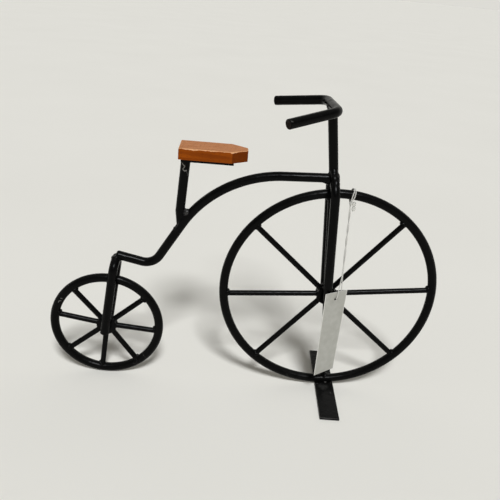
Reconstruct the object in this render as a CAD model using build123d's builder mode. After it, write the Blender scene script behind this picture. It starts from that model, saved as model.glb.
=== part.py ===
"""Table ornament in the form of a high-wheel bicycle.

It is welded from painted round steel rod, with a wooden seat and a flat steel foot under the high
wheel, and a paper tag hangs on a string from the high wheel's rim. Only the small wheel turns.

Millimetres. +X is forward, +Y is to the rider's left and +Z is up. The origin is on the table, midway
between the front of the high wheel and the back of the small wheel.
"""

import os
from math import acos, atan2, cos, hypot, pi, radians, sin, tan

from build123d import *

# Steel stock and the fits between pieces
frame_rod = 8.0  # diameter of the rims, forks, backbone, stem, seat post and handlebar
spoke_rod = 5.0
axle_rod = 6.0
weld_gap = 0.1  # fit-up gap between a shaped rod end and its mate, which the weld bridges
running_clearance = 0.05  # radial, hub bore on axle
hub_side_play = 0.8  # each side, between a hub and the fork legs
cut_edge_break = 0.7  # rounding of the sawn rod ends that show

# Wheels, with rim radii to the rod's centreline
wheelbase = 202.5
front_rim_radius = 96.0
rear_rim_radius = 48.5
hub_diameter = 18.0
spoke_count = 8
front_hub_shift = Vector(-1.5, 0, -1.0)  # from the rim's middle, as the hub was welded in
front_wheel_turn = 5.3  # degrees, direction of its first spoke
rear_wheel_turn = -5.6  # how the small wheel has come to rest on its axle
front_spoke_errors = (1.2, 0.8, 0, -1.7, -1.0, -0.1, 0.9, -0.6)  # degrees off their even places
rear_spoke_errors = (0.4, 1.4, 0, 1.7, -4.2, 0, -0.2, -2.5)

# Flat foot across the bicycle, under the high wheel
foot_width = 18.0
foot_length = 109.0
foot_thickness = 2.0
foot_lead = 9.9  # how far its middle lies ahead of the high wheel's
foot_turn = -1.1  # degrees about the vertical, as it was welded
foot_edge_break = 0.4

# Front fork: an upside-down U, leaning back
front_fork_lean = 4.5
front_crown_gap = 6.5  # between the rim and the crown
front_crown_radius = 16.0
front_leg_spread = 10.5  # from the wheel's plane to a leg, at the axle
leg_end_drop = 5.0  # how far the legs run on below their axle

# Rear fork: a smaller one, leaning forward
rear_fork_lean = -7.4
rear_crown_gap = 11.9
rear_crown_radius = 10.5
rear_leg_spread = 9.2

# Backbone: from the front crown back, down, and up again onto the rear crown
top_run = 97.9  # front crown to the corner of the long bend
top_run_slope = 2.55
long_bend_radius = 103.0
short_bend_radius = 14.5
tail_run = 32.8  # corner of the short bend to the rear crown
tail_slope = 12.4
tail_overhang = 1.0  # past the rear crown's middle
tail_lap = 4.8  # from the rear crown's centreline up to the tail's
tail_end_round = 2.0

# Stem and handlebar
stem_length = 61.0  # front crown to crossbar, between rod centrelines
stem_lean = 9.0
crossbar_half = 25.3  # stem to the corner of a bend
grip_length = 47.0  # corner of a bend to the grip's end
grip_splay = 27.2
grip_droop = 10.6
bar_bend_radius = 11.0
bar_turn = 2.9  # how far the bar is turned on the stem, as it was welded

# Seat on its post
post_foot_run = 151.0  # along the backbone, from the front crown to where the post's axis meets it
post_length = 65.0  # from there to the seat plate
post_standoff = 17.8  # from there to the post's sawn lower end
post_tip_radius = 0.8  # of the taper that runs from the sawn end into the backbone, at its axis
post_lean = 3.9
post_inset = 5.6  # from the seat's back to the post's axis, under the plate
plate_thickness = 2.4
plate_width = 22.0
plate_length = 43.5
plate_inset = 2.0  # from the seat's back to the plate's
seat_thickness = 9.5
seat_half_width = 13.9
seat_nose_half_width = 4.5
seat_body_length = 43.7
seat_nose_length = 13.0
seat_edge_round = 0.9

# Paper tag on its string
tag_width = 24.2
tag_length = 86.6
tag_thickness = 0.4
tag_turn_top = 29.5  # degrees about the vertical, at the tag's top edge
tag_turn_bottom = 35.1
tag_hole_diameter = 3.0
tag_hole_drop = 7.2  # below the top edge
tag_at = Vector(5.3, -13.3, 8.0)  # middle of the top edge, from the high wheel's middle
string_diameter = 1.4
string_along = 3.7  # from the middle of the tag's top edge to the string's end above it
string_end_gap = 0.3  # between the string and the tag or lock that it holds
lock_diameter = 3.0
lock_waist = 2.0
lock_length = 8.5
lock_shoulders = (0.15, 0.35, 0.6, 0.85)  # shares of its length where it has its full diameter
lock_waist_at = 0.45  # share of its length where it is narrowest
string_bend_share = 0.45  # of the shorter run beside a corner that its bend takes

# The string's route from its lock over the rim and down to the tag, from the high wheel's middle
string_route = [
    Vector(9.6, -5.6, 91.6),
    Vector(9.3, -5.7, 95.4),
    Vector(9.0, -4.0, 99.8),
    Vector(8.6, 0.2, 101.5),
    Vector(8.2, 4.2, 99.7),
    Vector(7.8, 5.8, 95.2),
    Vector(7.5, 4.0, 89.6),
    Vector(7.3, -0.6, 82.6),
    Vector(7.6, -3.6, 72.4),
]

# Places that follow from the sizes above
rod_radius = frame_rod / 2
front_reach = front_rim_radius + rod_radius
rear_reach = rear_rim_radius + rod_radius
front_x = (wheelbase + rear_reach - front_reach) / 2
front_middle = Vector(front_x, 0, foot_thickness + weld_gap + front_reach)
front_hub = front_middle + front_hub_shift
rear_hub = Vector(front_x - wheelbase, 0, rear_reach)
clear_rod = frame_rod + 2 * weld_gap

os.makedirs("parts", exist_ok=True)


def direction(angle):
    """Unit vector in the bicycle's side view, at an angle in degrees up from straight ahead."""
    return Vector(cos(radians(angle)), 0, sin(radians(angle)))


def rod_along(path, diameter):
    """A round rod along a path."""
    with BuildSketch(Plane(origin=path @ 0, z_dir=path % 0)) as section:
        Circle(diameter / 2)
    with BuildPart() as rod:
        sweep(section.sketch, path=path)
    return rod.part


def straight_rod(start, end, diameter):
    """A round rod between two points."""
    with BuildLine() as line:
        Line(start, end)
    return rod_along(line.wire(), diameter)


def finish(piece, name):
    """Label a finished piece and write it."""
    piece.label = name
    export_step(piece, f"parts/{name}.step")


# Forks


def fork_plane(hub, lean):
    """Plane of a fork's U: its first axis is across the bicycle, its second up the leaning fork."""
    return Plane(origin=hub, x_dir=(0, 1, 0), z_dir=direction(lean))


def fork_path(plane, crown_height, crown_radius, leg_spread):
    """Centreline of a fork: two legs that draw in towards the axle, tangent to the crown's arc."""
    arc_height = crown_height - crown_radius
    leg_angle = atan2(arc_height, leg_spread) - acos(crown_radius / hypot(arc_height, leg_spread))
    foot_x = leg_spread - leg_end_drop * tan(leg_angle)
    touch_x = crown_radius * cos(leg_angle)
    touch_y = arc_height - crown_radius * sin(leg_angle)
    with BuildLine(plane) as line:
        Line((-foot_x, -leg_end_drop), (-touch_x, touch_y))
        ThreePointArc((-touch_x, touch_y), (0, crown_height), (touch_x, touch_y))
        Line((touch_x, touch_y), (foot_x, -leg_end_drop))
    return line.wire()


front_crown_height = front_reach + front_crown_gap + rod_radius
front_crown = front_hub + direction(90 + front_fork_lean) * front_crown_height
front_fork_path = fork_path(
    fork_plane(front_hub, front_fork_lean), front_crown_height, front_crown_radius, front_leg_spread
)
with BuildPart() as front_fork:
    add(rod_along(front_fork_path, frame_rod))
    fillet(front_fork.faces().filter_by(GeomType.PLANE).edges(), cut_edge_break)
finish(front_fork.part, "front_fork")

rear_crown_height = rear_reach + rear_crown_gap + rod_radius
rear_crown = rear_hub + direction(90 + rear_fork_lean) * rear_crown_height
rear_fork_path = fork_path(
    fork_plane(rear_hub, rear_fork_lean), rear_crown_height, rear_crown_radius, rear_leg_spread
)
with BuildPart() as rear_fork:
    add(rod_along(rear_fork_path, frame_rod))
    fillet(rear_fork.faces().filter_by(GeomType.PLANE).edges(), cut_edge_break)
finish(rear_fork.part, "rear_fork")

# Wheels: a rim bent from rod, spokes with shaped ends, and a hub on the axle between the fork legs


def build_wheel(name, middle, hub, rim_radius, leg_spread, turn, errors, legs_path):
    """Write one wheel's rim, spokes, hub and axle."""
    rim_plane = Plane(origin=middle, x_dir=(1, 0, 0), z_dir=(0, -1, 0))
    hub_plane = Plane(origin=hub, x_dir=(1, 0, 0), z_dir=(0, -1, 0))
    hub_width = 2 * (leg_spread - rod_radius - hub_side_play)
    with BuildPart(rim_plane) as rim:
        Torus(rim_radius, rod_radius)
    finish(rim.part, f"{name}_rim")

    with BuildPart(hub_plane) as bush:
        Cylinder(hub_diameter / 2, hub_width)
        chamfer(bush.edges().filter_by(GeomType.CIRCLE), cut_edge_break)
        Hole(axle_rod / 2 + running_clearance)
    finish(bush.part, f"{name}_hub")

    with BuildPart() as spokes:
        for step in range(spoke_count):
            along = direction(turn + 360 / spoke_count * step + errors[step % len(errors)])
            add(straight_rod(hub, hub + along * rim_radius, spoke_rod))
        with Locations(rim_plane):
            Torus(rim_radius, rod_radius + weld_gap, mode=Mode.SUBTRACT)
        with Locations(hub_plane):
            Cylinder(hub_diameter / 2 + weld_gap, hub_width, mode=Mode.SUBTRACT)
    finish(spokes.part, f"{name}_spokes")

    side = Vector(0, leg_spread, 0)
    with BuildPart() as axle:
        add(straight_rod(hub - side, hub + side, axle_rod))
        add(rod_along(legs_path, clear_rod), mode=Mode.SUBTRACT)
    finish(axle.part, f"{name}_axle")


build_wheel(
    "front",
    front_middle,
    front_hub,
    front_rim_radius,
    front_leg_spread,
    front_wheel_turn,
    front_spoke_errors,
    front_fork_path,
)
build_wheel(
    "rear",
    rear_hub,
    rear_hub,
    rear_rim_radius,
    rear_leg_spread,
    rear_wheel_turn,
    rear_spoke_errors,
    rear_fork_path,
)

# Foot: a flat bar on the table, its back edge under the lowest point of the high wheel

with BuildPart() as foot:
    foot_across = Vector(1, 0, 0).rotate(Axis.Z, foot_turn)
    with BuildSketch(Plane(origin=(front_middle.X + foot_lead, 0, 0), x_dir=foot_across)):
        Rectangle(foot_width, foot_length)
    extrude(amount=foot_thickness)
    fillet(foot.faces().sort_by(Axis.Z)[-1].edges(), foot_edge_break)
finish(foot.part, "foot")

# Stem and handlebar

crossbar = front_crown + direction(90 + stem_lean) * stem_length
bar_across = Vector(0, 1, 0).rotate(Axis.Z, bar_turn)
bar_normal = direction(90 + grip_droop).rotate(Axis.Z, bar_turn)
handlebar_plane = Plane(origin=crossbar, x_dir=bar_across, z_dir=bar_normal)
grip_end_x = crossbar_half + grip_length * sin(radians(grip_splay))
grip_end_y = grip_length * cos(radians(grip_splay))
with BuildLine(handlebar_plane) as handlebar_line:
    FilletPolyline(
        (-grip_end_x, grip_end_y),
        (-crossbar_half, 0),
        (crossbar_half, 0),
        (grip_end_x, grip_end_y),
        radius=bar_bend_radius,
    )
handlebar_path = handlebar_line.wire()
with BuildPart() as handlebar:
    add(rod_along(handlebar_path, frame_rod))
    fillet(handlebar.faces().filter_by(GeomType.PLANE).edges(), cut_edge_break)
finish(handlebar.part, "handlebar")

with BuildPart() as stem:
    add(straight_rod(front_crown, crossbar, frame_rod))
    add(rod_along(front_fork_path, clear_rod), mode=Mode.SUBTRACT)
    add(rod_along(handlebar_path, clear_rod), mode=Mode.SUBTRACT)
finish(stem.part, "stem")

# Backbone: its tail is shaped to lap over the rear crown, its front end to the front crown and stem

tail_along = direction(180 - tail_slope)
tail_seat = rear_crown + direction(90 - tail_slope) * tail_lap
long_bend = front_crown + direction(180 + top_run_slope) * top_run
short_bend = tail_seat - tail_along * tail_run
tail_end = tail_seat + tail_along * tail_overhang
with BuildLine() as backbone_line:
    FilletPolyline(
        front_crown, long_bend, short_bend, tail_end, radius=[long_bend_radius, short_bend_radius]
    )
backbone_path = backbone_line.wire()
with BuildPart() as backbone:
    add(rod_along(backbone_path, frame_rod))
    fillet(backbone.faces().filter_by(GeomType.PLANE).sort_by(Axis.X)[0].edges(), tail_end_round)
    add(rod_along(front_fork_path, clear_rod), mode=Mode.SUBTRACT)
    add(rod_along(rear_fork_path, clear_rod), mode=Mode.SUBTRACT)
    add(straight_rod(front_crown, crossbar, clear_rod), mode=Mode.SUBTRACT)
finish(backbone.part, "backbone")

# Seat post, the plate welded on its head, and the wooden seat

post_foot = backbone_path.position_at(post_foot_run, position_mode=PositionMode.LENGTH)
post_along = direction(90 - post_lean)
plate_bottom = post_foot.Z + post_length * post_along.Z + weld_gap
post_head_x = post_foot.X + post_length * post_along.X
seat_back_x = post_head_x - post_inset
seat_bottom = plate_bottom + plate_thickness

with BuildPart() as seat_post:
    post_top = post_foot + post_along * (post_length + frame_rod)
    add(straight_rod(post_foot + post_along * post_standoff, post_top, frame_rod))
    with Locations(Plane(origin=post_foot, z_dir=post_along)):
        Cone(post_tip_radius, rod_radius, post_standoff, align=(Align.CENTER, Align.CENTER, Align.MIN))
    split(bisect_by=Plane.XY.offset(plate_bottom - weld_gap), keep=Keep.BOTTOM)
    add(rod_along(backbone_path, clear_rod), mode=Mode.SUBTRACT)
finish(seat_post.part, "seat_post")

with BuildPart() as seat_plate:
    with BuildSketch(Plane(origin=(seat_back_x + plate_inset, 0, plate_bottom))):
        Rectangle(plate_length, plate_width, align=(Align.MIN, Align.CENTER))
    extrude(amount=plate_thickness)
    fillet(seat_plate.edges().filter_by(Axis.Z), foot_edge_break)
finish(seat_plate.part, "seat_plate")

with BuildPart() as seat:
    with BuildSketch(Plane(origin=(seat_back_x, 0, seat_bottom))):
        with BuildLine():
            Polyline(
                (0, seat_half_width),
                (seat_body_length, seat_half_width),
                (seat_body_length + seat_nose_length, seat_nose_half_width),
                (seat_body_length + seat_nose_length, -seat_nose_half_width),
                (seat_body_length, -seat_half_width),
                (0, -seat_half_width),
                close=True,
            )
        make_face()
    extrude(amount=seat_thickness)
    fillet(seat.edges().filter_by(Axis.Z), seat_edge_round)
    fillet(seat.faces().sort_by(Axis.Z)[-1].edges(), seat_edge_round)
    fillet(seat.faces().sort_by(Axis.Z)[0].edges(), seat_edge_round / 2)
finish(seat.part, "seat")

# Paper tag, twisted along its length, with its punched hole

tag_top = front_middle + tag_at


def tag_cross_axis(turn):
    """Direction across the tag where it is turned by this angle about the vertical."""
    return Vector(cos(radians(turn)), sin(radians(turn)), 0)


with BuildPart() as tag:
    for drop, turn in ((0, tag_turn_top), (tag_length, tag_turn_bottom)):
        with BuildSketch(Plane(origin=tag_top - Vector(0, 0, drop), x_dir=tag_cross_axis(turn))):
            Rectangle(tag_width, tag_thickness)
    loft(ruled=True)
    hole_turn = tag_turn_top + (tag_turn_bottom - tag_turn_top) * tag_hole_drop / tag_length
    hole_axis = tag_cross_axis(hole_turn).cross(Vector(0, 0, 1))
    with BuildSketch(Plane(origin=tag_top - Vector(0, 0, tag_hole_drop), z_dir=hole_axis)):
        Circle(tag_hole_diameter / 2)
    extrude(amount=tag_hole_diameter, both=True, mode=Mode.SUBTRACT)
finish(tag.part, "tag")

# String: up from its lock, over the rim and down behind it, then straight to the tag

string_points = [front_middle + point for point in string_route]
string_points.append(tag_top + tag_cross_axis(tag_turn_top) * string_along + Vector(0, 0, string_end_gap))
string_radii = []
for before, corner, after in zip(string_points, string_points[1:], string_points[2:]):
    run_in = corner - before
    run_out = after - corner
    half_turn = radians(run_in.get_angle(run_out) / 2)
    string_radii.append(string_bend_share * min(run_in.length, run_out.length) / tan(half_turn))
with BuildLine() as string_line:
    FilletPolyline(*string_points, radius=string_radii)
string_path = string_line.wire()
with BuildPart() as tag_string:
    add(rod_along(string_path, string_diameter))
finish(tag_string.part, "tag_string")
string_volume = pi * string_diameter**2 / 4 * string_path.length
print("string bend radii", [round(radius, 1) for radius in string_radii])
print(f"string length {string_path.length:.1f}, volume {tag_string.part.volume:.1f} of {string_volume:.1f}")

# Lock: a small clear bullet with a waist, hanging from the string's first point

lock_top = string_points[0] - Vector(0, 0, string_end_gap)
with BuildPart() as tag_lock:
    with BuildSketch(Plane(origin=lock_top, x_dir=(1, 0, 0), z_dir=(0, -1, 0))):
        with BuildLine():
            Polyline(
                (0, 0),
                (lock_waist / 2, 0),
                (lock_diameter / 2, -lock_length * lock_shoulders[0]),
                (lock_diameter / 2, -lock_length * lock_shoulders[1]),
                (lock_waist / 2, -lock_length * lock_waist_at),
                (lock_diameter / 2, -lock_length * lock_shoulders[2]),
                (lock_diameter / 2, -lock_length * lock_shoulders[3]),
                (lock_waist / 2, -lock_length),
                (0, -lock_length),
                close=True,
            )
        make_face()
    revolve(axis=Axis(lock_top, (0, 0, 1)))
finish(tag_lock.part, "tag_lock")
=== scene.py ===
# %% [markdown]
# # The looks of a high-wheel bicycle ornament
# The construction comes from CAD: each rod, rim and plate is already at its real size and place, and
# nothing here moves it. This lesson gives it its looks: satin black paint over lumpy welds, a stained wooden
# seat, and a paper tag on a doubled string. All lengths are in metres, with +X forward, +Y to the rider's
# left and +Z up, so a size in millimetres is written as a number times mm.

from math import atan2, cos, degrees, pi, radians, sin

import bmesh
import bpy
from mathutils import Matrix, Vector, noise
from mathutils.bvhtree import BVHTree
from mathutils.kdtree import KDTree


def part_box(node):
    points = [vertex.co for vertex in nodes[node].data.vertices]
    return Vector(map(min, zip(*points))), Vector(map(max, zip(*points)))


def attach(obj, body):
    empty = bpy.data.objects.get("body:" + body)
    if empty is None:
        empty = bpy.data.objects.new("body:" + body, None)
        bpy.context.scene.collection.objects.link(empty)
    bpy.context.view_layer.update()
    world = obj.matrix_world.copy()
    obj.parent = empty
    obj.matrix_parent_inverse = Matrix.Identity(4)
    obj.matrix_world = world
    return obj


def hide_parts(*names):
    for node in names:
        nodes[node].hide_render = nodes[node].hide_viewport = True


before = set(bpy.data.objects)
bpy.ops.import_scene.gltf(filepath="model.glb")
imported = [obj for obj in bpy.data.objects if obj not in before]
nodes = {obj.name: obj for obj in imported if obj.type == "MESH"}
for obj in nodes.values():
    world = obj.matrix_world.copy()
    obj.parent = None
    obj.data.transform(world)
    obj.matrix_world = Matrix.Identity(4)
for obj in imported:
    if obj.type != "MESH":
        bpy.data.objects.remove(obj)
scene = bpy.context.scene
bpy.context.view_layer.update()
mm = 0.001

# %% [markdown]
# ## Camera
# The picture was taken by hand from about half a metre away, looking down on the bicycle's right side, with
# the camera tilted a little. A camera could be aimed with a constraint, but then its tilt is hard to set.
# Three turns, one for each habit of the hand, say it plainly: first the tilt about its own line of sight,
# then the dip below the horizon, then the turn about the vertical. The lens is also shifted by half a pixel,
# because these values were measured from the middles of pixels and a picture begins at a pixel's corner.

# %% Camera
camera_place = Vector((-22.17, -484.75, 357.57)) * mm
camera_turn = radians(2.962)
camera_dip = radians(24.282)
camera_tilt = radians(5.457)
half_pixel = 0.5 / 500

camera = bpy.data.objects.new("camera", bpy.data.cameras.new("camera"))
camera.data.sensor_width = 36.0
camera.data.lens = 43.005
camera.data.shift_x = -half_pixel
camera.data.shift_y = half_pixel
camera.data.clip_start = 0.01
camera.matrix_world = (
    Matrix.Translation(camera_place)
    @ Matrix.Rotation(-camera_turn, 4, "Z")
    @ Matrix.Rotation(pi / 2 - camera_dip, 4, "X")
    @ Matrix.Rotation(camera_tilt, 4, "Z")
)
scene.collection.objects.link(camera)
scene.camera = camera
print(f"camera: {camera.data.lens:.1f} mm lens, {camera_place.length:.2f} m from the origin")

# %% [markdown]
# ## Building materials from nodes
# A finish is a small network: textures that read the piece's own coordinates, ramps that turn them into
# colour and roughness, and one shader. Writing every node by hand hides that idea in clutter. These three
# helpers start a network and add one node to it.

# %% Networks
def plug(finish, socket, value):
    """Feed a socket: with a link if the value is another node's output, or else with the plain value."""
    if isinstance(value, bpy.types.NodeSocket):
        finish.node_tree.links.new(value, socket)
    else:
        socket.default_value = value


def add_node(finish, kind, inputs=None, **settings):
    """Add a node, set its options, and feed the sockets that inputs names."""
    made = finish.node_tree.nodes.new(kind)
    for option, value in settings.items():
        setattr(made, option, value)
    for socket, value in (inputs or {}).items():
        plug(finish, made.inputs[socket], value)
    return made


def start_finish(name):
    """A new material, its shader, and the coordinates and normals of the piece that wears it."""
    finish = bpy.data.materials.new(name)
    finish.use_nodes = True
    coordinates = add_node(finish, "ShaderNodeTexCoord")
    shader = finish.node_tree.nodes["Principled BSDF"]
    return finish, shader, coordinates.outputs["Object"], coordinates.outputs["Normal"]


# %% [markdown]
# The rest of the helpers each add one kind of node and hand back the socket that the next one needs, so a
# finish reads like a sum: a cloud, taken between two roughnesses, or a blend of two colours.

# %% Textures, sums and colours
def stretch(finish, place, scale):
    """Coordinates scaled by a different number along each axis."""
    return add_node(finish, "ShaderNodeMapping", {"Vector": place, "Scale": scale}).outputs["Vector"]


def cloud(finish, place, scale, detail=2.0, distortion=0.0):
    """Smooth noise with about scale lumps to the metre, around a half."""
    inputs = {"Vector": place, "Scale": scale, "Detail": detail, "Distortion": distortion}
    return add_node(finish, "ShaderNodeTexNoise", inputs).outputs["Fac"]


def between(finish, value, low, high, to_low=0.0, to_high=1.0):
    """Take the stretch from low to high to the stretch from to_low to to_high, and no further."""
    inputs = {0: value, 1: low, 2: high, 3: to_low, 4: to_high}
    return add_node(finish, "ShaderNodeMapRange", inputs, clamp=True).outputs[0]


def arithmetic(finish, operation, first, second=0.0):
    """One sum on two numbers."""
    return add_node(finish, "ShaderNodeMath", {0: first, 1: second}, operation=operation).outputs[0]


def vector_sum(finish, operation, first, second):
    """One sum on two vectors, as the outputs that its node has."""
    return add_node(finish, "ShaderNodeVectorMath", {0: first, 1: second}, operation=operation).outputs


def upward_part(finish, vector):
    """The vertical part of a direction."""
    return add_node(finish, "ShaderNodeSeparateXYZ", {0: vector}).outputs[2]


def blend(finish, share, first, second):
    """A colour between two colours."""
    inputs = {0: share, 6: first, 7: second}
    return add_node(finish, "ShaderNodeMix", inputs, data_type="RGBA").outputs[2]


def emboss(finish, shader, height, depth, strength=1.0):
    """Raise the surface by a height from 0 to 1 times depth."""
    inputs = {"Height": height, "Distance": depth, "Strength": strength}
    plug(finish, shader.inputs["Normal"], add_node(finish, "ShaderNodeBump", inputs).outputs["Normal"])


def shade(red, green, blue):
    """An opaque colour."""
    return (red, green, blue, 1.0)


# %% [markdown]
# ## Studio
# A black, satin object shows its surroundings more than itself, so the room matters. The floor is one flat
# pale disc, so wide that its edge is far away and melts into a sky that is as bright as the floor at the
# horizon. Higher up the sky is dim, so that reflections stay dark and the paint stays black, except behind
# the bicycle, where it stays bright for longer, like a pale wall. One soft sun behind the camera's shoulder
# draws the pale line along each rod and lets a soft shadow fall behind it.

# %% Floor
floor_radius = 40.0


def add_piece(name, mesh, finish):
    """Turn a finished bmesh into a smooth object at the origin that wears one material."""
    data = bpy.data.meshes.new(name)
    mesh.to_mesh(data)
    mesh.free()
    data.shade_smooth()
    data.materials.append(finish)
    piece = bpy.data.objects.new(name, data)
    scene.collection.objects.link(piece)
    print(f"{name}: {len(data.polygons)} faces")
    return piece


def pale_floor():
    """Matt pale paint, a little uneven."""
    finish, shader, place, _ = start_finish("pale_floor")
    patches = cloud(finish, place, 3.0)
    colour = blend(finish, patches, shade(0.82, 0.80, 0.745), shade(0.86, 0.84, 0.785))
    plug(finish, shader.inputs["Base Color"], colour)
    shader.inputs["Roughness"].default_value = 0.9
    shader.inputs["Specular IOR Level"].default_value = 0.1
    return finish


floor_mesh = bmesh.new()
bmesh.ops.create_circle(floor_mesh, cap_ends=True, segments=128, radius=floor_radius)
studio = add_piece("studio_floor", floor_mesh, pale_floor())

# %% Light
sun_from = Vector((0.1, -0.6, 0.8))
wall_share = 0.7
horizon_strength = 0.725
zenith_strength = 0.1

scene.view_settings.view_transform = "Standard"
sun = bpy.data.objects.new("soft_sun", bpy.data.lights.new("soft_sun", "SUN"))
sun.data.energy = 2.7
sun.data.angle = radians(13)
sun.data.color = (0.96, 0.98, 1.0)
sun.rotation_euler = sun_from.to_track_quat("Z", "Y").to_euler()
scene.collection.objects.link(sun)

sky = bpy.data.worlds.new("dim_sky")
sky.use_nodes = True
scene.world = sky
sky_coordinates = add_node(sky, "ShaderNodeTexCoord").outputs["Generated"]
looking = add_node(sky, "ShaderNodeSeparateXYZ", {0: sky_coordinates}).outputs
wall_lift = between(sky, looking[1], 0.0, 1.0, 0.0, wall_share)
sky_height = arithmetic(sky, "SUBTRACT", looking[2], wall_lift)
sky_shader = sky.node_tree.nodes["Background"]
sky_shader.inputs["Color"].default_value = shade(1.0, 0.985, 0.923)
sky_strength = between(sky, sky_height, 0.06, 0.4, horizon_strength, zenith_strength)
plug(sky, sky_shader.inputs["Strength"], sky_strength)
print(f"light: a sun {degrees(sun.data.angle):.0f} degrees wide")

# %% [markdown]
# ## The string's route
# The tag hangs on a doubled string that is looped over the high wheel's rim and held by a small clear lock.
# A cord is easiest to get right when its line comes first: the points say where it goes, from the knot, up
# the front of the rim, over it, down behind, back under it to the knot, and then straight to the tag. A NURBS
# spline through that cage of points bends like string, where straight runs with rounded corners would look
# like wire. Blender turns the curve into a row of close points, which the strands then follow.

# %% The route and its points
rim_low, rim_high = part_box("front_rim")
front_middle = (rim_low + rim_high) / 2
string_route = [
    (6.5, -5.3, 89.8),
    (7.7, -6.2, 94.4),
    (9.1, -4.8, 99.6),
    (9.5, 0.2, 101.4),
    (8.4, 4.5, 99.7),
    (7.8, 5.9, 95.0),
    (7.3, 4.8, 90.9),
    (6.9, 0.0, 89.8),
    (6.6, -4.4, 89.3),
    (6.7, -5.3, 86.0),
    (7.3, -5.2, 78.0),
    (8.0, -7.6, 50.4),
    (8.9, -10.4, 20.7),
    (8.5, -11.5, 8.3),
]


def points_along(name, cage):
    """The close points of a smooth line whose control points are cage."""
    curve = bpy.data.curves.new(name, "CURVE")
    curve.dimensions = "3D"
    curve.resolution_u = 40
    spline = curve.splines.new("NURBS")
    spline.points.add(len(cage) - 1)
    for point, place in zip(spline.points, cage):
        point.co = (*place, 1.0)
    spline.order_u = 3
    spline.use_endpoint_u = True
    holder = bpy.data.objects.new(name, curve)
    line = bpy.data.meshes.new_from_object(holder)
    found = [vertex.co.copy() for vertex in line.vertices]
    bpy.data.meshes.remove(line)
    bpy.data.objects.remove(holder)
    bpy.data.curves.remove(curve)
    return found


def metres_along(line):
    """How far along a line each of its points is."""
    run = [0.0]
    for before, after in zip(line, line[1:]):
        run.append(run[-1] + (after - before).length)
    return run


def on_wheel(point):
    """A place given in millimetres from the middle of the high wheel's rim."""
    return front_middle + Vector(point) * mm


string_line = points_along("string_route", [on_wheel(point) for point in string_route])
string_run = metres_along(string_line)
print(f"string: {len(string_line)} points, {string_run[-1] / mm:.1f} mm long")

# %% [markdown]
# ## Skins along a line
# A strand, a weld bead and a rim's seam are all the same kind of shape: a row of circles along a line,
# joined into a skin. create_circle makes each ring where a matrix puts it, and bridge_loops joins a ring to
# the next. A ring's matrix needs three directions. Turning the last ring's directions by the bend between
# two steps keeps the skin from twisting by itself.

# %% Rings and skins
def frames_along(line, first_side):
    """The directions sideways, upwards and along at each point of a line, turned no more than the line is."""
    ends = [line[0], *line, line[-1]]
    tangents = [(after - before).normalized() for before, after in zip(ends, ends[2:])]
    side = (first_side - tangents[0] * first_side.dot(tangents[0])).normalized()
    frames = []
    for before, tangent in zip([tangents[0], *tangents], tangents):
        side = before.rotation_difference(tangent) @ side
        frames.append((side, tangent.cross(side), tangent))
    return frames


def ring_matrix(place, directions, radius):
    """Where create_circle has to put a circle of radius 1."""
    matrix = Matrix(directions).transposed().to_4x4()
    matrix.translation = place
    return matrix @ Matrix.Diagonal((radius, radius, 1.0, 1.0))


def skin(rings, sides, closed, run=None):
    """A skin over circles, in a bmesh of its own.

    With run, the metres along at each circle, every vertex keeps its place on the yarn: the cosine and sine
    of its angle round it, and the metres along it.
    """
    mesh = bmesh.new()
    yarn = mesh.verts.layers.float_vector.new("yarn") if run else None
    hoops = []
    for index, matrix in enumerate(rings):
        loop = bmesh.ops.create_circle(mesh, segments=sides, radius=1.0, matrix=matrix)["verts"]
        hoops.append(list({edge for vertex in loop for edge in vertex.link_edges}))
        if run:
            for number, vertex in enumerate(loop):
                angle = 2 * pi * number / sides
                vertex[yarn] = (cos(angle), sin(angle), run[index])
    pairs = list(zip(hoops, hoops[1:]))
    if closed:
        pairs.append((hoops[-1], hoops[0]))
    for hoop, next_hoop in pairs:
        bmesh.ops.bridge_loops(mesh, edges=hoop + next_hoop)
    if not closed:
        for hoop in (hoops[0], hoops[-1]):
            bmesh.ops.edgeloop_fill(mesh, edges=hoop)
    bmesh.ops.recalc_face_normals(mesh, faces=mesh.faces)
    return mesh


def join(meshes):
    """One bmesh from several."""
    whole = bmesh.new()
    for mesh in meshes:
        scratch = bpy.data.meshes.new("scratch")
        mesh.to_mesh(scratch)
        mesh.free()
        whole.from_mesh(scratch)
        bpy.data.meshes.remove(scratch)
    return whole


# %% [markdown]
# ## Two strands
# The string is one thin cotton cord, doubled. In front of the rim its two strands bow apart, on the way down
# they turn lazily round each other, and just above the tag they part, one to pass in front of the tag and one
# behind. So each strand stands off the route by a distance and at an angle that change along it.
# Each vertex also remembers how far along and how far round its strand it is, so that the yarn's
# twist can be drawn on it.

# %% Places of the strands
strand_radius = 0.48 * mm
strand_sides = 8
spread_on_rim = 0.95 * mm
spread_on_drop = 0.46 * mm
opening = (2 * mm, 6 * mm)
closing = (8 * mm, 14 * mm)
loop_length = 38 * mm
parting_length = 16 * mm
strand_turns = 2
tag_turn_top = radians(29.5)
tag_across = Vector((cos(tag_turn_top), sin(tag_turn_top), 0.0))
tag_outward = tag_across.cross(Vector((0.0, 0.0, 1.0)))


def ease(value, low, high):
    """0 below low, 1 above high, and a smooth change between them."""
    share = min(max((value - low) / (high - low), 0.0), 1.0)
    return share * share * (3 - 2 * share)


rim_forward = Vector((1.0, 0.0, -0.09)).normalized()
string_frames = frames_along(string_line, rim_forward)
end_side, end_lift, _ = string_frames[-1]
parting = tag_outward * 0.7 * mm - tag_across * 2.2 * mm
end_angle = atan2(parting.dot(end_lift), parting.dot(end_side)) + 2 * pi * strand_turns


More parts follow.
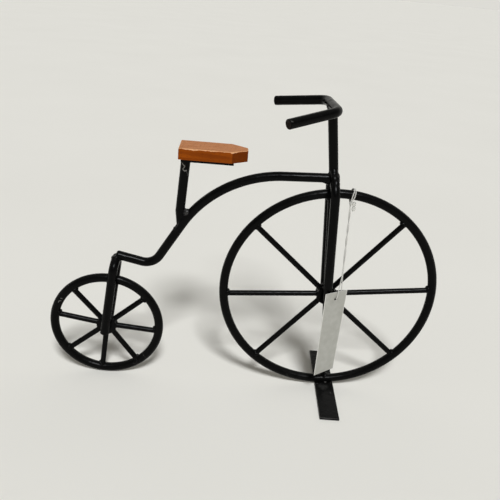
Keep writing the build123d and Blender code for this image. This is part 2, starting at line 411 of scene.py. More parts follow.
def strand_offset(index):
    """Where the first strand's middle lies from the route's point; the second lies opposite."""
    done = string_run[index]
    left = string_run[-1] - done
    open_share = ease(done, *opening) - ease(done, *closing)
    spread = spread_on_drop + (spread_on_rim - spread_on_drop) * open_share
    spread += (parting.length - spread_on_drop) * (1 - ease(left, 0.0, parting_length))
    angle = end_angle * ease(done, 0.6 * loop_length, string_run[-1] - parting_length)
    side, lift, _ = string_frames[index]
    return (side * cos(angle) + lift * sin(angle)) * spread


def yarn_skin(places, frames, run):
    """The skin of a single strand, as a bmesh."""
    rings = [ring_matrix(place, directions, strand_radius) for place, directions in zip(places, frames)]
    return skin(rings, strand_sides, closed=False, run=run)


def strand(sign):
    """One of the two strands."""
    places = [point + strand_offset(index) * sign for index, point in enumerate(string_line)]
    return yarn_skin(places, string_frames, string_run)


# %% [markdown]
# The cotton's three plies are a wave that runs round and along a strand at once. Its crests are the plies and
# its troughs the grooves between them, painted darker as the shade that falls in them, and a fine noise gives
# them their fuzz.

# %% Cotton and the strands
def cotton_string():
    """Off-white cotton: three plies laid round each other, with painted shade in the grooves between and a
    soft sheen.
    """
    finish, shader, place, _ = start_finish("cotton_string")
    plies = 3
    twist_pitch = 2.2 * mm
    yarn = add_node(finish, "ShaderNodeAttribute", attribute_name="yarn").outputs["Vector"]
    parts = add_node(finish, "ShaderNodeSeparateXYZ", {0: yarn}).outputs
    round_angle = arithmetic(finish, "MULTIPLY", arithmetic(finish, "ARCTAN2", parts[1], parts[0]), plies)
    along_angle = arithmetic(finish, "MULTIPLY", parts[2], 2 * pi / twist_pitch)
    wave = arithmetic(finish, "SINE", arithmetic(finish, "ADD", round_angle, along_angle))
    fuzz = cloud(finish, place, 3500, detail=3.0)
    soiled = between(finish, cloud(finish, place, 90), 0.45, 0.8)
    clean = blend(finish, soiled, shade(0.66, 0.65, 0.61), shade(0.54, 0.53, 0.49))
    # The grooves between the plies are painted darker, as the shade that falls in them.
    groove_shade = between(finish, wave, -1.0, -0.4, 1.0, 0.0)
    plug(finish, shader.inputs["Base Color"], blend(finish, groove_shade, clean, shade(0.38, 0.37, 0.34)))
    plug(finish, shader.inputs["Roughness"], between(finish, fuzz, 0.3, 0.7, 0.7, 0.9))
    shader.inputs["Specular IOR Level"].default_value = 0.25
    shader.inputs["Sheen Weight"].default_value = 0.3
    raised_fuzz = arithmetic(finish, "MULTIPLY", fuzz, 0.4)
    height = arithmetic(finish, "ADD", between(finish, wave, -1.0, 1.0), raised_fuzz)
    emboss(finish, shader, height, 0.12 * mm)
    return finish


string_finish = cotton_string()
tag_string = add_piece("string_strands", join([strand(1), strand(-1)]), string_finish)
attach(tag_string, "frame")
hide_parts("tag_string")

# %% [markdown]
# ## The loop through the tag
# Where the strands part, the string goes down the front of the tag, in at the punched hole and up again
# behind. It pulls towards one side, so it lies in the hole's upper corner and leaves the rest of it open. It
# is the same cord, but it turns far too tightly for the doubled string's line, so it is a short piece of its
# own: one smooth line from strand to strand, with a skin over it.

# %% Loop through the punched hole
tag_hole_drop = 7.2 * mm
tag_standoff = 0.8 * mm
tag_top = on_wheel((5.3, -13.3, 8.0))
hole = tag_top - Vector((0.0, 0.0, tag_hole_drop))
corner = hole + tag_across * 0.65 * mm + Vector((0.0, 0.0, 0.65 * mm))
rise = Vector((0.0, 0.0, 1.2 * mm))
end_offset = strand_offset(len(string_line) - 1)
front_end = string_line[-1] + end_offset
back_end = string_line[-1] - end_offset
loop_cage = [
    front_end + rise,
    front_end,
    front_end.lerp(corner, 0.4) + tag_outward * 0.5 * tag_standoff,
    corner + tag_outward * 1.5 * tag_standoff + rise,
    corner + tag_outward * tag_standoff,
    corner - tag_outward * tag_standoff,
    corner - tag_outward * 1.5 * tag_standoff + rise,
    back_end.lerp(corner, 0.4) - tag_outward * 0.5 * tag_standoff,
    back_end,
    back_end + rise,
]


def cord_skin(line, first_side):
    """A single strand along a line."""
    return yarn_skin(line, frames_along(line, first_side), metres_along(line))


loop_line = points_along("loop_route", loop_cage)
tag_loop = add_piece("string_loop", cord_skin(loop_line, tag_across), string_finish)
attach(tag_loop, "frame")

# %% [markdown]
# ## The knot
# Under the rim the doubled string is gathered by a few turns of its own end, and a short tie runs from there
# to the lock. The turns are a helix, drawn as points on a circle that sinks a little with each step.

# %% Knot and tie
knot_middle = on_wheel((6.8, -5.3, 89.6))
knot_radius = 0.95 * mm
knot_pitch = 0.85 * mm
knot_turns = 2
knot_steps = 60
tie_route = [(7.2, -6.0, 89.4), (8.6, -6.8, 89.8), (9.7, -6.3, 91.8), (9.6, -5.6, 90.8)]

knot_line = []
for step in range(knot_steps + 1):
    share = step / knot_steps
    angle = 2 * pi * knot_turns * share
    sink = (0.5 - share) * knot_pitch * knot_turns
    knot_line.append(knot_middle + Vector((cos(angle) * knot_radius, sin(angle) * knot_radius, sink)))
tie_line = points_along("tie_route", [on_wheel(point) for point in tie_route])
knot_mesh = join([cord_skin(knot_line, rim_forward), cord_skin(tie_line, rim_forward)])
knot = add_piece("string_knot", knot_mesh, string_finish)
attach(knot, "frame")

# %% [markdown]
# ## The clear lock
# The string's two ends snap together in a small clear plastic barrel that hangs beside the rim. It is a
# turned shape, so half of its outline is drawn once and spun about its axis. The outline's numbers are the
# millimetres from the axis and the millimetres down from the top.

# %% Lock
lock_low, lock_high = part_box("tag_lock")
lock_axis = (lock_low + lock_high) / 2
lock_outline = [
    (0.0, 0.0), (0.8, 0.0), (1.15, 0.35), (1.45, 1.3), (1.5, 2.4), (1.25, 3.2), (1.0, 3.6), (1.0, 4.1),
    (1.3, 4.5), (1.5, 5.2), (1.5, 6.8), (1.3, 7.5), (0.9, 8.1), (0.5, 8.5), (0.0, 8.5),
]


def clear_plastic():
    """Clear plastic gone slightly milky, with fine moulding marks."""
    finish, shader, place, _ = start_finish("clear_plastic")
    marks = cloud(finish, place, 700)
    plug(finish, shader.inputs["Roughness"], between(finish, marks, 0.3, 0.7, 0.08, 0.2))
    shader.inputs["Base Color"].default_value = shade(0.80, 0.80, 0.77)
    shader.inputs["Transmission Weight"].default_value = 0.7
    shader.inputs["IOR"].default_value = 1.49
    emboss(finish, shader, marks, 0.03 * mm)
    return finish


lock_mesh = bmesh.new()
top = Vector((lock_axis.x, lock_axis.y, lock_high.z))
corners = [lock_mesh.verts.new(top + Vector((across, 0.0, -down)) * mm) for across, down in lock_outline]
edges = [lock_mesh.edges.new(pair) for pair in zip(corners, corners[1:])]
bmesh.ops.spin(
    lock_mesh, geom=corners + edges, cent=top, axis=(0, 0, 1), angle=2 * pi, steps=24, use_merge=True
)
bmesh.ops.remove_doubles(lock_mesh, verts=lock_mesh.verts, dist=0.01 * mm)
bmesh.ops.recalc_face_normals(lock_mesh, faces=lock_mesh.faces)
lock = add_piece("string_lock", lock_mesh, clear_plastic())
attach(lock, "frame")
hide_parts("tag_lock")

# %% [markdown]
# With that, all of the string's pieces are made: the two strands along its route, the loop through the tag,
# the knot with its tie, and the lock.

# %% [markdown]
# ## Paper
# The tag is stiff pale card. Real card is never one flat tone: it has fibres, faint clouding from the pulp,
# soil from fingers near its hole, and a whiter core that shows at its cut edges and where its long edges
# fray. Its face is painted darker than the pale card is, as the shade that the tag hangs in. Its shape, a
# strip that has taken a twist, is the CAD node's own, so only the finish is made.

# %% Paper finish
tag_width = 24.2 * mm


def distance_from(finish, place, point):
    """How far the surface is from a point."""
    return vector_sum(finish, "DISTANCE", place, point)["Value"]


def tag_card():
    """Uncoated pale card, its face painted darker as shade, with short fibres, a little soil near the hole
    and frayed, whiter long edges.
    """
    finish, shader, place, normal = start_finish("tag_card")
    pulp = cloud(finish, place, 180, detail=4.0)
    fibres = cloud(finish, stretch(finish, place, (2600, 2600, 700)), 1.0, detail=3.0)
    # The face's tones are painted darker than the pale card is, as the shade that the tag hangs in.
    shaded_paper = blend(finish, between(finish, pulp, 0.3, 0.7), shade(0.37, 0.365, 0.33), shade(0.43, 0.425, 0.39))
    handled = between(finish, distance_from(finish, place, hole), 9 * mm, 1.5 * mm)
    soil = arithmetic(finish, "MULTIPLY", handled, between(finish, fibres, 0.4, 0.7))
    shaded_paper = blend(finish, soil, shaded_paper, shade(0.30, 0.29, 0.26))

    facing = vector_sum(finish, "DOT_PRODUCT", normal, tag_outward)["Value"]
    cut_edge = between(finish, arithmetic(finish, "ABSOLUTE", facing), 0.7, 0.4)
    flat = stretch(finish, place, (1.0, 1.0, 0.0))
    from_axis = distance_from(finish, flat, (tag_top.x, tag_top.y, 0.0))
    long_edge = 0.5 * tag_width
    frayed = between(finish, from_axis, long_edge - 0.7 * mm, long_edge - 0.2 * mm, 0.0, 0.8)
    pale = arithmetic(finish, "MAXIMUM", cut_edge, frayed)

    plug(finish, shader.inputs["Base Color"], blend(finish, pale, shaded_paper, shade(0.78, 0.77, 0.73)))
    plug(finish, shader.inputs["Roughness"], between(finish, fibres, 0.3, 0.7, 0.75, 0.95))
    shader.inputs["Specular IOR Level"].default_value = 0.2
    emboss(finish, shader, fibres, 0.06 * mm)
    return finish


def wear(node_names, finish):
    """Give CAD nodes a finish in place of their plain colour."""
    for name in node_names:
        for material_slot in nodes[name].material_slots:
            material_slot.material = finish
    print(f"{finish.name}: on {len(node_names)} CAD nodes")


wear(["tag"], tag_card())

# %% [markdown]
# ## Satin black paint
# The steel was dipped or sprayed satin black. Up close the coat has an orange-peel skin about a millimetre
# across, slow sags, patches that are more or less matt from handling, dust on what faces up, and hairline
# scratches. In a few places it is scuffed down to pale primer, and a random pattern would put those marks
# anywhere. Here each mark is a line through a few measured points: the shader finds how far the surface is
# from the nearest of its straight runs, and shows primer where that is less than about half of the mark's
# width. A plate's rounded edges, which face neither up nor aside, can be painted paler as well: partly as
# paint rubbed thin, and partly as a painted highlight along the edge.

# %% Paint finish
def hairlines(finish, place, scale, width):
    """Wandering lines, where a noise passes through its middle value."""
    field = cloud(finish, place, scale, detail=1.0, distortion=0.6)
    offset = arithmetic(finish, "ABSOLUTE", arithmetic(finish, "SUBTRACT", field, 0.5))
    return between(finish, offset, width, 0.3 * width)


def distance_from_line(finish, place, points):
    """How far the surface is from a line through some points."""
    nearest = 1.0
    for start, end in zip(points, points[1:]):
        run = end - start
        offset = vector_sum(finish, "SUBTRACT", place, start)["Vector"]
        along = vector_sum(finish, "DOT_PRODUCT", offset, run / run.length_squared)["Value"]
        share = between(finish, along, 0.0, 1.0)
        reached = add_node(finish, "ShaderNodeVectorMath", {0: run, "Scale": share}, operation="SCALE")
        away = distance_from(finish, offset, reached.outputs["Vector"])
        nearest = arithmetic(finish, "MINIMUM", away, nearest)
    return nearest


def satin_black(name, scuffs=(), edge_wear_and_highlight=0.0):
    """Satin black paint, with its scuffs and with rounded edges painted paler, as worn paint and as a painted
    highlight.

    Each scuff is a line of points in millimetres, the mark's width and how far it is worn to primer.
    """
    finish, shader, place, normal = start_finish(name)
    peel = cloud(finish, place, 1100)
    sags = cloud(finish, place, 170, detail=1.0)
    handled = cloud(finish, place, 45, detail=3.0)
    grit = cloud(finish, place, 2600, detail=1.0)
    facing_up = upward_part(finish, normal)
    rubbed_pale = between(finish, handled, 0.35, 0.7)
    black = blend(finish, rubbed_pale, shade(0.001, 0.001, 0.001), shade(0.002, 0.002, 0.002))
    settled = between(finish, facing_up, 0.35, 1.0)
    dust = arithmetic(finish, "MULTIPLY", settled, between(finish, grit, 0.5, 0.75, 0.04, 0.2))
    colour = blend(finish, dust, black, shade(0.07, 0.069, 0.066))

    patches = between(finish, cloud(finish, place, 28), 0.58, 0.7, 0.0, 0.025)
    scratched = stretch(finish, place, (1.0, 1.0, 0.35))
    marks = arithmetic(finish, "MULTIPLY", hairlines(finish, scratched, 130, 0.005), patches)
    for points, width, worn_to in scuffs:
        away = distance_from_line(finish, place, [Vector(point) * mm for point in points])
        ragged = arithmetic(finish, "ADD", away, between(finish, grit, 0.3, 0.7, -0.3 * width, 0.3 * width))
        scuff = between(finish, ragged, 0.7 * width, 0.2 * width, 0.0, worn_to)
        marks = arithmetic(finish, "MAXIMUM", marks, scuff)
    # Rounded edges are painted paler: partly paint rubbed thin, partly a painted highlight along the edge.
    if edge_wear_and_highlight:
        off_the_sides = between(finish, facing_up, 0.1, 0.4)
        off_the_top = between(finish, facing_up, 0.98, 0.8)
        rounded = arithmetic(finish, "MULTIPLY", off_the_sides, off_the_top)
        worn_and_lit = between(finish, handled, 0.35, 0.65, 0.3 * edge_wear_and_highlight, edge_wear_and_highlight)
        marks = arithmetic(finish, "MAXIMUM", marks, arithmetic(finish, "MULTIPLY", rounded, worn_and_lit))
    plug(finish, shader.inputs["Base Color"], blend(finish, marks, colour, shade(0.62, 0.60, 0.57)))

    satin = between(finish, handled, 0.3, 0.7, 0.23, 0.32)
    worn = arithmetic(finish, "MULTIPLY", marks, 0.75)
    plug(finish, shader.inputs["Roughness"], arithmetic(finish, "MAXIMUM", satin, worn))
    shader.inputs["Specular IOR Level"].default_value = 0.07
    height = arithmetic(finish, "ADD", arithmetic(finish, "MULTIPLY", peel, 0.12), sags)
    height = arithmetic(finish, "SUBTRACT", height, arithmetic(finish, "MULTIPLY", marks, 0.2))
    emboss(finish, shader, height, 0.35 * mm)
    return finish


# %% [markdown]
# ## Marks of use
# The seat post has a crooked scratch under the seat, deep in its middle and faint at its ends, and a dull
# patch in the crook above the backbone. The small rim, one grip and the foot have smaller ones. The pieces
# that have marks get a paint of their own, and all the others share the plain one.

# %% Painted nodes and their scuffs
scratch_head = [(-60.4, -3.2, 216.0), (-60.4, -3.2, 214.5)]
scratch_middle = [
    (-60.4, -3.2, 214.5), (-59.7, -3.7, 213.6), (-58.5, -4.0, 212.7), (-58.8, -4.0, 211.3),
    (-59.9, -3.7, 210.0), (-59.2, -3.9, 208.9), (-57.8, -3.9, 208.4), (-56.9, -3.7, 208.9),
]
scratch_tail = [(-56.9, -3.7, 208.9), (-56.5, -3.4, 207.3), (-55.7, -2.6, 205.4), (-55.9, -2.8, 204.2)]
dull_crook = [(-56.4, -3.2, 169.8), (-54.8, -2.8, 170.8), (-55.6, -1.6, 173.2)]
post_scuffs = [
    (scratch_head, 0.5 * mm, 0.12),
    (scratch_middle, 0.8 * mm, 0.45),
    (scratch_tail, 0.5 * mm, 0.12),
    (dull_crook, 2.8 * mm, 0.07),
]
rear_rim_scuffs = [
    ([(-165.9, -4.0, 78.6), (-164.7, -3.8, 78.2)], 0.7 * mm, 0.2),
    ([(-168.3, -4.0, 74.3), (-167.4, -4.0, 76.0), (-165.8, -3.7, 75.8)], 0.7 * mm, 0.2),
    ([(-91.4, -1.4, 23.0), (-90.1, -3.5, 21.8), (-88.0, -3.9, 20.0)], 0.4 * mm, 0.1),
]
handlebar_scuffs = [([(20.8, -50.8, 267.0), (22.2, -50.7, 266.5)], 0.8 * mm, 0.1)]
foot_scuffs = [
    ([(91.9, -15.8, 2.0), (92.6, -18.0, 2.0)], 0.5 * mm, 0.12),
    ([(83.5, -7.5, 2.0), (88.5, -7.5, 2.0), (85.5, -10.5, 2.0)], 4.5 * mm, 0.03),
]

painted = [name for name in nodes if nodes[name].material_slots[0].material.name == "black_paint"]
paint = satin_black("satin_black")
wear(painted, paint)
post_paint = satin_black("satin_black_post", post_scuffs)
wear(["seat_post"], post_paint)
wear(["rear_rim"], satin_black("satin_black_rear_rim", rear_rim_scuffs))
wear(["handlebar"], satin_black("satin_black_handlebar", handlebar_scuffs))
# The foot's rounded edges are painted paler: worn paint, and a painted highlight along them.
wear(["foot"], satin_black("satin_black_foot", foot_scuffs, edge_wear_and_highlight=0.25))

# %% [markdown]
# ## Weld beads
# The rods are joined by hand-run welds, painted over. A weld's line could be worked out with geometry, but a
# simpler way suits any pair of pieces: rays run along the rod from all round its skin, and where they strike
# the other piece is the seam. A bead is a skin of rings along that seam, whose size swells in ripples and
# bumps, and is fatter on the side the welder worked from.

# %% Seams and beads
rod_radius = 4 * mm
ripple_share = 0.1
bump_share = 0.3
bump_size = 2.5 * mm


def surface_of(*names):
    """The skins of CAD nodes, ready for rays."""
    skins = bmesh.new()
    for name in names:
        skins.from_mesh(nodes[name].data)
    tree = BVHTree.FromBMesh(skins)
    skins.free()
    return tree


def seam(start, end, radius, onto, count):
    """Where the skin of a rod from start to end runs into a surface. A ray that misses stops at the end."""
    along = (end - start).normalized()
    side = along.orthogonal().normalized()
    lift = along.cross(side)
    reach = (end - start).length
    found = []
    for step in range(count):
        angle = 2 * pi * step / count
        origin = start + (side * cos(angle) + lift * sin(angle)) * radius
        hit = onto.ray_cast(origin, along, reach)[0]
        found.append(hit or origin + along * reach)
    return found


def bead(line, size, heavy=None, least=0.4, ripples=9, sides=10):
    """A weld bead round a closed seam, of its full size towards heavy and of the least share away from it."""
    middle = sum(line, Vector()) / len(line)
    rings = []
    for index, point in enumerate(line):
        tangent = (line[(index + 1) % len(line)] - line[index - 1]).normalized()
        outward = point - middle
        outward = (outward - tangent * outward.dot(tangent)).normalized()
        share = 1.0
        if heavy:
            share = least + (1 - least) * (0.5 + 0.5 * outward.dot(heavy))
        ripple = 1 + ripple_share * sin(2 * pi * ripples * index / len(line))
        bump = 1 + bump_share * noise.noise(point / bump_size)
        directions = (outward, tangent.cross(outward), tangent)
        rings.append(ring_matrix(point, directions, size * share * ripple * bump))
    return skin(rings, sides, closed=True)


# %% [markdown]
# ## Melting a weld into its rods
# A bead laid on a corner still looks like a ring of clay. Real weld metal flows into the corner and runs out
# thin on both sides. To get that, the ends of the rods are cut out of the CAD skins with planes, the bead is
# added, and the lot is remade on a fine grid of cells, which melts all of it into one skin. Smoothing then
# fills the corner and draws the rods in by a hair, so that away from the weld the true rod covers it. Last,
# a slow noise raises lumps near the seam.

# %% Cutting and melting
cell = 0.42 * mm
smoothing_rounds = 26
lump_height = 0.35 * mm
lump_size = 2.6 * mm
lump_fade = (1.5 * mm, 4.5 * mm)


def chunk(names, middle, reach):
    """What lies within reach of a point along each axis, of some CAD nodes, closed again where it was cut."""
    cut = bmesh.new()
    for name in names:
        cut.from_mesh(nodes[name].data)
    bmesh.ops.remove_doubles(cut, verts=cut.verts, dist=0.001 * mm)
    for axis in range(3):
        for sign in (1, -1):
            outward = Vector()
            outward[axis] = sign
            everything = cut.verts[:] + cut.edges[:] + cut.faces[:]
            edge_point = middle + outward * reach[axis] * mm
            bmesh.ops.bisect_plane(
                cut, geom=everything, plane_co=edge_point, plane_no=outward, clear_outer=True
            )
            bmesh.ops.holes_fill(cut, edges=[edge for edge in cut.edges if edge.is_boundary])
    return cut


def melt(meshes, seam_points):
    """Make one smooth, lumpy skin out of overlapping closed meshes."""
    data = bpy.data.meshes.new("melt")
    whole = join(meshes)
    whole.to_mesh(data)
    whole.free()
    holder = bpy.data.objects.new("melt", data)
    scene.collection.objects.link(holder)
    grid = holder.modifiers.new("grid", "REMESH")
    grid.mode = "VOXEL"
    grid.voxel_size = cell
    melted = bmesh.new()
    melted.from_object(holder, bpy.context.evaluated_depsgraph_get())
    bpy.data.objects.remove(holder)
    bpy.data.meshes.remove(data)
    for _ in range(smoothing_rounds):
        bmesh.ops.smooth_vert(
            melted, verts=melted.verts, factor=0.5, use_axis_x=True, use_axis_y=True, use_axis_z=True
        )

    near = KDTree(len(seam_points))
    for index, point in enumerate(seam_points):
        near.insert(point, index)
    near.balance()
    melted.normal_update()
    for vertex in melted.verts:
        fade = 1 - ease(near.find(vertex.co)[2], *lump_fade)
        vertex.co += vertex.normal * (lump_height * fade * noise.noise(vertex.co / lump_size))
    bmesh.ops.recalc_face_normals(melted, faces=melted.faces)
    return melted


# %% [markdown]
# Where a joint is built up further, a flared collar or a ball of metal goes into the melt as well. A collar
# starts just inside its rod and swells ever faster, as metal does that has run down to a corner.

# %% Collars, balls and finished welds
collar_steps = 16
collar_sides = 24
collar_inset = 0.95


def collar(start, end, flare, push):
    """A sleeve on a rod that swells by flare and leans aside by push on its way from start to end."""
    along = (end - start).normalized()
    side = along.orthogonal().normalized()
    rings = []
    for step in range(collar_steps + 1):
        share = step / collar_steps
        swell = share ** 2
        place = start.lerp(end, share) + push * swell
        radius = collar_inset * rod_radius + flare * swell
        rings.append(ring_matrix(place, (side, along.cross(side), along), radius))
    return skin(rings, collar_sides, closed=False)


def ball(middle, radii):
    """A ball of weld metal with a radius in millimetres along each axis."""
    mesh = bmesh.new()
    matrix = Matrix.Translation(middle) @ Matrix.Diagonal((*radii, 1.0)) @ Matrix.Scale(mm, 4)
    bmesh.ops.create_icosphere(mesh, subdivisions=3, radius=1.0, matrix=matrix)
    return mesh


def add_weld(name, finish, meshes, seam_points):
    """A weld piece on the frame, melted from overlapping meshes and lumpy near the seam's points."""
    weld = add_piece(name, melt(meshes, seam_points), finish)
    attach(weld, "frame")


# %% [markdown]
# ## Where the frame's rods meet
# Each weld needs the place where two rods meet. Most of these places follow from the front hub by the frame's
# own lengths and leans, in the order in which a welder sets it up: the fork's crown, the handlebar on its
# stem, the backbone's corner. The rear crown and the foot of the seat post lie beyond that corner, so they
# are given as points.

# %% Joints of the frame
fork_lean = 4.5
crown_height = 110.5
stem_lean = 9.0
stem_length = 61.0
top_slope = 2.55
top_run = 97.9
post_lean = 3.9
post_length = 65.0


def direction(angle):
    """Unit vector in the bicycle's side view, at an angle in degrees up from straight ahead."""
    return Vector((cos(radians(angle)), 0.0, sin(radians(angle))))


hub_low, hub_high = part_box("front_hub")
front_hub = (hub_low + hub_high) / 2
front_crown = front_hub + direction(90 + fork_lean) * crown_height * mm
crossbar = front_crown + direction(90 + stem_lean) * stem_length * mm
backbone_corner = front_crown + direction(180 + top_slope) * top_run * mm
rear_crown = Vector((-116.19, 0.0, 120.33)) * mm
tail_seat = Vector((-115.16, 0.0, 125.02)) * mm
post_foot = Vector((-62.26, 0.0, 153.22)) * mm
post_head = post_foot + direction(90 - post_lean) * post_length * mm
forward = Vector((1.0, 0.0, 0.0))
right_side = Vector((0.0, -1.0, 0.0))
upward = Vector((0.0, 0.0, 1.0))
print(f"joints: crown {front_crown.z / mm:.0f} mm up, crossbar {crossbar.z / mm:.0f} mm up")

# %% [markdown]
# ## The crown's weld
# At the crown the stem stands on the fork and the backbone runs into both from behind, so it has the largest
# weld. One collar swells down the stem and another along the backbone. On the right side the welder went over
# it again: a row of balls, each a pass of the rod, steps from the stem down to the fork's shoulder, and
# fuller ones round off the shoulder's front. Each ball has its middle, from the crown, and its radii, both in
# millimetres.

# %% Crown weld
crown_metal = [
    ((-1.0, -2.9, 6.1), (3.4, 2.9, 3.2)),
    ((-0.9, -4.8, 4.0), (3.2, 2.5, 2.5)),
    ((-0.8, -7.0, 2.1), (3.3, 2.8, 2.8)),
    ((-0.4, -8.8, 0.3), (3.0, 2.5, 2.5)),
    ((0.2, -10.0, -0.7), (3.0, 2.6, 2.6)),
    ((1.0, -3.0, 2.0), (3.8, 3.5, 4.5)),
    ((1.0, -6.5, 0.0), (3.6, 3.5, 4.5)),
    ((0.9, -9.8, -2.5), (3.6, 3.5, 4.5)),
    ((0.7, -13.0, -6.5), (3.8, 3.0, 4.5)),
]


def up_stem(share):
    """A place on the stem, from the crown at 0 to the crossbar at 1."""
    return front_crown.lerp(crossbar, share)


def along_backbone(share):
    """A place on the backbone's straight run, from the crown at 0 to its corner at 1."""
    return front_crown.lerp(backbone_corner, share)


stem_seam = seam(up_stem(0.5), front_crown, rod_radius, surface_of("front_fork"), 72)
backbone_seam = seam(along_backbone(0.3), front_crown, rod_radius, surface_of("front_fork", "stem"), 72)
crown_meshes = [
    chunk(["stem", "front_fork", "backbone"], front_crown, (15, 15, 14)),
    bead(stem_seam, 1.2 * mm),
    bead(backbone_seam, 1.2 * mm, -upward, 0.3),
    collar(up_stem(0.16), up_stem(-0.05), 0.8 * mm, forward * 0.8 * mm),
    collar(along_backbone(0.13), along_backbone(0.04), 1.2 * mm, -upward * 1.5 * mm),
]
for middle, radii in crown_metal:
    crown_meshes.append(ball(front_crown + Vector(middle) * mm, radii))
add_weld("weld_crown", paint, crown_meshes, stem_seam + backbone_seam)

# %% [markdown]
# ## The other welds of the frame
# The handlebar lies on the stem's top, the seat plate on the post's head, and the tail on the rear fork. The
# post stands in the crook of the backbone, where its weld is heaviest in front, and a ball of metal fills the
# narrow wedge between the two rods. Each weld is named for the piece that it holds.

# %% Frame welds
bar_seam = seam(up_stem(0.5), crossbar, rod_radius, surface_of("handlebar"), 72)
bar_meshes = [chunk(["stem", "handlebar"], crossbar, (9, 10, 10)), bead(bar_seam, 1.3 * mm, -forward, 0.5)]
add_weld("weld_handlebar", paint, bar_meshes, bar_seam)

post_middle = post_foot.lerp(post_head, 0.5)
plate_seam = seam(post_middle, post_head + upward * mm, rod_radius, surface_of("seat_plate"), 60)
plate_meshes = [chunk(["seat_post"], post_head, (8, 8, 6)), bead(plate_seam, 1.0 * mm, forward, 0.5)]
add_weld("weld_seat_plate", paint, plate_meshes, plate_seam)

foot_seam = seam(post_head, post_foot, 0.9 * rod_radius, surface_of("backbone"), 60)
crook = Vector((-55.4, 0.0, 170.9)) * mm
post_meshes = [
    chunk(["seat_post", "backbone"], post_foot.lerp(post_head, 0.16), (13, 8, 17)),
    bead(foot_seam, 1.5 * mm, forward, 0.35),
    ball(crook, (2.8, 3.6, 2.8)),
]
add_weld("weld_post", post_paint, post_meshes, foot_seam)

tail_seam = seam(tail_seat, rear_crown, 0.95 * rod_radius, surface_of("rear_fork"), 60)
tail_meshes = [chunk(["backbone", "rear_fork"], rear_crown, (11, 9, 11)), bead(tail_seam, 1.0 * mm)]
add_weld("weld_tail", paint, tail_meshes, tail_seam)

# %% [markdown]
# ## The weld on the foot
# The high wheel's rim only touches the flat bar, so the weld has to fill the narrow wedge on both its sides.
# Its seam is no rod's end: it runs round the place where they touch, as a long flat ring. The bar's stub is
# sunk a little, so that the true bar covers it wherever there is no weld.

# %% Foot weld
contact = Vector((86.0, 0.0, 2.3)) * mm
contact_steps = 72
half_length = 7.0
half_width = 2.6
end_lift = 0.05
foot_sink = 0.7 * mm
foot_weld_scuffs = [([(88.0, -3.7, 4.6), (89.2, -3.4, 4.3)], 1.1 * mm, 0.3)]

contact_seam = []
for step in range(contact_steps):
    angle = 2 * pi * step / contact_steps
    offset = Vector((half_length * cos(angle), half_width * sin(angle), end_lift * cos(angle) ** 2))
    contact_seam.append(contact + offset * mm)
foot_stub = chunk(["foot"], contact, (11, 6, 1.2))
bmesh.ops.translate(foot_stub, verts=foot_stub.verts, vec=-upward * foot_sink)
rim_stub = chunk(["front_rim"], contact, (11, 6, 5))
foot_bead = bead(contact_seam, 1.5 * mm, right_side, 0.6)
foot_weld_paint = satin_black("satin_black_foot_weld", foot_weld_scuffs)
add_weld("weld_foot", foot_weld_paint, [rim_stub, foot_stub, foot_bead], contact_seam)

# %% [markdown]
# ## Spoke welds
# Each of the sixteen spokes is tacked to its rim and its hub from one side, so its end flares on that side
# only. One loop makes all of them, with each tack's side and each spoke's small error in angle from a fixed
# list, so that they differ like handwork and still come out the same each time.

# %% Spoke welds
spoke_radius = 2.5 * mm


def spoke_welds(hub, rim_radius, angles, tack_turns, rim_name, hub_name):
    """The beads at both ends of a wheel's spokes, in one bmesh."""
    rim_skin = surface_of(rim_name)
    hub_skin = surface_of(hub_name)
    made = []
    for angle, tack_turn in zip(angles, tack_turns):
        along = direction(angle)
        turn = radians(tack_turn)
        heavy = along.cross(right_side) * cos(turn) + right_side * sin(turn)
        half_way = hub + along * 0.5 * rim_radius
        rim_seam = seam(half_way, hub + along * rim_radius, spoke_radius, rim_skin, 30)
        made.append(bead(rim_seam, 1.9 * mm, heavy, least=0.2, ripples=5, sides=8))
        hub_seam = seam(half_way, hub, spoke_radius, hub_skin, 30)
        made.append(bead(hub_seam, 0.9 * mm, heavy, least=0.5, ripples=3, sides=12))
    return join(made)


def spoke_angles(first, errors):
    """The spokes' directions in degrees: an even spacing and an error for each."""
    return [first + 360 / len(errors) * step + error for step, error in enumerate(errors)]


front_rim_radius = 96 * mm
front_angles = spoke_angles(5.3, [1.2, 0.8, 0.0, -1.7, -1.0, -0.1, 0.9, -0.6])
front_tacks = [170, 180, 120, 20, 0, 60, 200, 180]
rear_low, rear_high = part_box("rear_rim")
rear_hub = (rear_low + rear_high) / 2
rear_rim_radius = 48.5 * mm
rear_angles = spoke_angles(-5.6, [0.4, 1.4, 0.0, 1.7, -4.2, 0.0, -0.2, -2.5])
rear_tacks = [180, 90, 120, 0, 0, 20, 0, 180]

front_mesh = spoke_welds(front_hub, front_rim_radius, front_angles, front_tacks, "front_rim", "front_hub")
front_welds = add_piece("welds_front_spokes", front_mesh, paint)
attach(front_welds, "frame")
rear_mesh = spoke_welds(rear_hub, rear_rim_radius, rear_angles, rear_tacks, "rear_rim", "rear_hub")
rear_welds = add_piece("welds_rear_spokes", rear_mesh, paint)
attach(rear_welds, "rear_wheel")

# %% [markdown]
# ## The rims' butt seams
# A rim is one rod bent round until its ends meet, and the two ends are welded and filed nearly flush. What is
# left is a low ridge round the rod: a thin ring whose middle lies just inside the rod's skin.

# %% Butt seams
seam_radius = 0.55 * mm
seam_height = 0.14 * mm
seam_steps = 48


def butt_seam(middle, rim_radius, angle):
    """A low ridge round a rim's rod at an angle in degrees."""
    along = direction(angle)
    line = []
    for step in range(seam_steps):
        turn = 2 * pi * step / seam_steps
        outward = along * cos(turn) + right_side * sin(turn)
        line.append(middle + along * rim_radius + outward * (rod_radius + seam_height - seam_radius))
    return bead(line, seam_radius, ripples=7, sides=8)


front_seam = add_piece("seam_front_rim", butt_seam(front_middle, front_rim_radius, -80.0), paint)
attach(front_seam, "frame")
rear_seam = add_piece("seam_rear_rim", butt_seam(rear_hub, rear_rim_radius, -99.7), paint)
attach(rear_seam, "rear_wheel")
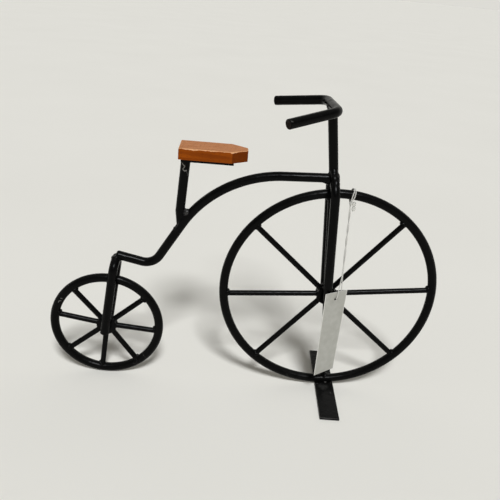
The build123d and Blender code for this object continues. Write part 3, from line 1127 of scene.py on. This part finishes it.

# %% [markdown]
# ## Stained wood
# The seat is a block of pale wood under an orange-brown stain. The grain runs along the seat, so the noise
# that draws it is stretched that way: long soft streaks, finer dark lines, and short pores. Its top is paler
# and speckled, partly rubbed and partly painted light on the face that looks up, its near upper edges are
# chipped to bare wood, its far side and far upper edge are painted dark as shade, and the slanted end grain
# at its nose has drunk more stain and is darker. Most of that follows from which way the surface faces, so
# the shader reads the normal. The chips also need the height: they reach down from the top edge as far as a
# coarse noise says.

# %% Wood finish
_, seat_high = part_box("seat")


def stained_wood():
    """Orange-brown stain on fine straight grain; top worn and painted lighter, far side painted as shade,
    upper edges chipped.
    """
    finish, shader, place, normal = start_finish("stained_wood")
    streaks = cloud(finish, stretch(finish, place, (22, 330, 330)), 1.0, detail=3.0, distortion=0.4)
    lines = cloud(finish, stretch(finish, place, (45, 1500, 1500)), 1.0, detail=3.0)
    pores = cloud(finish, stretch(finish, place, (420, 3600, 3600)), 1.0, detail=1.0)
    chips = cloud(finish, stretch(finish, place, (220, 220, 120)), 1.0, detail=3.0)
    facing = add_node(finish, "ShaderNodeSeparateXYZ", {0: normal}).outputs
    height = add_node(finish, "ShaderNodeSeparateXYZ", {0: place}).outputs[2]

    pale_streaks = between(finish, streaks, 0.35, 0.65)
    stain = blend(finish, pale_streaks, shade(0.20, 0.039, 0.002), shade(0.30, 0.064, 0.003))
    stain = blend(finish, between(finish, lines, 0.52, 0.7, 0.0, 0.5), stain, shade(0.14, 0.024, 0.001))
    stain = blend(finish, between(finish, facing[0], 0.3, 0.6, 0.0, 0.75), stain, shade(0.10, 0.017, 0.001))
    # The top is painted paler: partly stain rubbed away, partly painted light on the face that looks up.
    dark_lines = between(finish, lines, 0.4, 0.65)
    rubbed_and_lit_top = blend(finish, dark_lines, shade(0.58, 0.25, 0.105), shade(0.46, 0.17, 0.06))
    stain = blend(finish, between(finish, facing[2], 0.4, 0.7), stain, rubbed_and_lit_top)
    # The far side, which faces away from the light, and its top edge are painted dark as shade.
    shaded_far_side = between(finish, facing[1], 0.1, 0.4)
    far_edge_shade = arithmetic(finish, "MULTIPLY", shaded_far_side, between(finish, facing[2], 0.99, 0.9))
    stain = blend(finish, far_edge_shade, stain, shade(0.11, 0.028, 0.008))

    chip_depth = between(finish, chips, 0.35, 0.7, 0.1 * mm, 1.2 * mm)
    below_top = arithmetic(finish, "SUBTRACT", seat_high.z, height)
    bare = between(finish, arithmetic(finish, "SUBTRACT", below_top, chip_depth), 0.15 * mm, -0.15 * mm)
    bare = arithmetic(finish, "MULTIPLY", bare, between(finish, facing[2], 0.99, 0.93))
    bare = arithmetic(finish, "MULTIPLY", bare, between(finish, facing[1], 0.2, 0.0))
    stain = blend(finish, bare, stain, shade(0.74, 0.40, 0.20))

    open_pores = between(finish, pores, 0.56, 0.68, 0.0, 0.65)
    plug(finish, shader.inputs["Base Color"], blend(finish, open_pores, stain, shade(0.12, 0.026, 0.003)))
    plug(finish, shader.inputs["Roughness"], between(finish, streaks, 0.3, 0.7, 0.45, 0.6))
    shader.inputs["Specular IOR Level"].default_value = 0.04
    emboss(finish, shader, arithmetic(finish, "SUBTRACT", lines, open_pores), 0.08 * mm)
    return finish


wear(["seat"], stained_wood())
